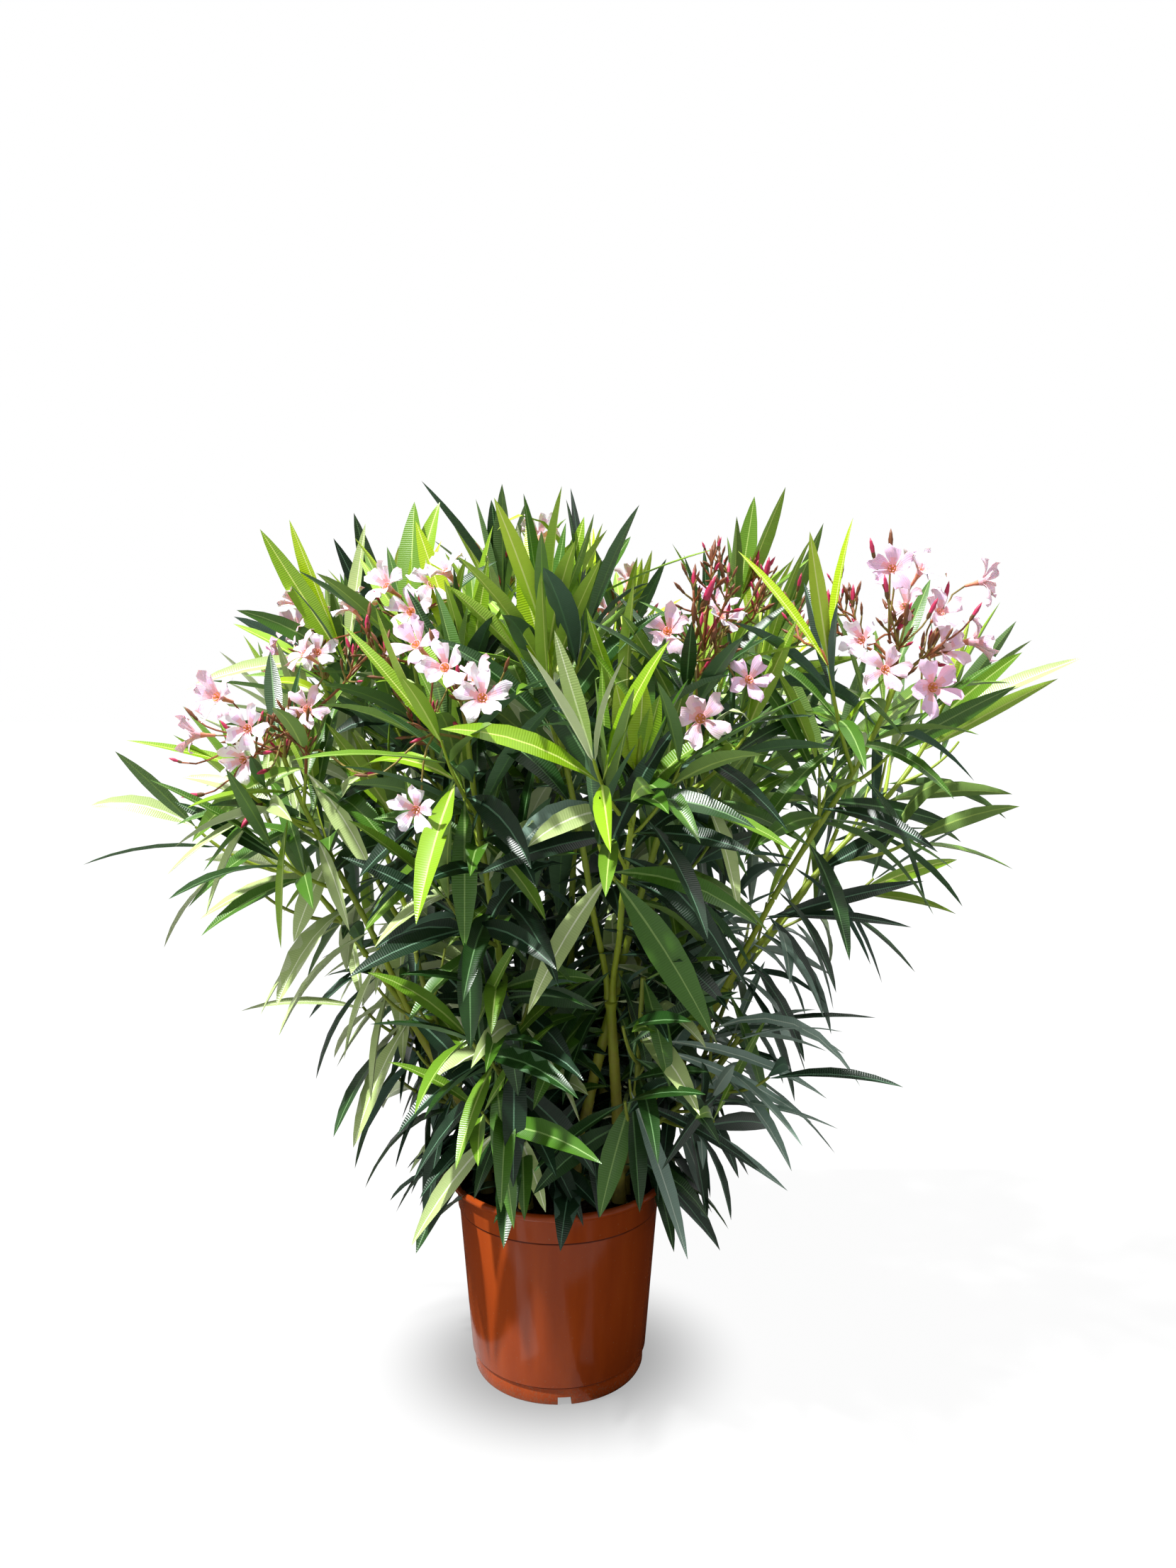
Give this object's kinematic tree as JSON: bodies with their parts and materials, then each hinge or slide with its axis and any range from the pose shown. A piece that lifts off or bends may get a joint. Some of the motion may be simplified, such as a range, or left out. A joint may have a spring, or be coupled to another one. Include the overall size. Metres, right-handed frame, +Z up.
{
  "type": "potted oleander",
  "caption": "Many-stemmed flowering oleander shrub standing in a tapered plastic nursery pot with a rolled lip, for terraces, gardens and interiors.",
  "frame": {"origin": "middle of the pot's flat underside, on the ground it stands on", "axes": "+Z up along the pot's axis, +X to the right and -Y towards the viewer of the main view"},
  "size_m": [1.1376, 0.9448, 1.076],
  "materials": {
    "pot": "smooth injection-moulded plastic, terracotta coloured",
    "soil": "damp potting soil with bark crumbs",
    "stem": "smooth green-olive bark ringed with leaf scars",
    "bough": "smooth young green bark",
    "foliage": "leathery lance-shaped leaves with pink blossoms"
  },
  "bodies": {
    "root": {"bough_01a": "bough", "bough_01b": "bough", "bough_03a": "bough", "bough_03b": "bough", "bough_06a": "bough", "bough_06b": "bough", "bough_09a": "bough", "bough_09b": "bough", "bough_11a": "bough", "bough_11b": "bough", "bough_13a": "bough", "bough_13b": "bough", "foliage_01a": "foliage", "foliage_01b": "foliage", "foliage_02": "foliage", "foliage_03a": "foliage", "foliage_03b": "foliage", "foliage_04": "foliage", "foliage_05": "foliage", "foliage_06a": "foliage", "foliage_06b": "foliage", "foliage_07": "foliage", "foliage_08": "foliage", "foliage_09a": "foliage", "foliage_09b": "foliage", "foliage_10": "foliage", "foliage_11a": "foliage", "foliage_11b": "foliage", "foliage_12": "foliage", "foliage_13a": "foliage", "foliage_13b": "foliage", "foliage_14": "foliage", "foliage_15": "foliage", "foliage_low_01": "foliage", "foliage_low_03": "foliage", "foliage_low_04": "foliage", "foliage_low_06": "foliage", "foliage_low_08": "foliage", "foliage_low_11": "foliage", "foliage_low_13a": "foliage", "foliage_low_13b": "foliage", "foliage_low_14": "foliage", "pot": "pot", "soil": "soil", "stem_01": "stem", "stem_02": "stem", "stem_03": "stem", "stem_04": "stem", "stem_05": "stem", "stem_06": "stem", "stem_07": "stem", "stem_08": "stem", "stem_09": "stem", "stem_10": "stem", "stem_11": "stem", "stem_12": "stem", "stem_13": "stem", "stem_14": "stem", "stem_15": "stem"}
  },
  "joints": []
}
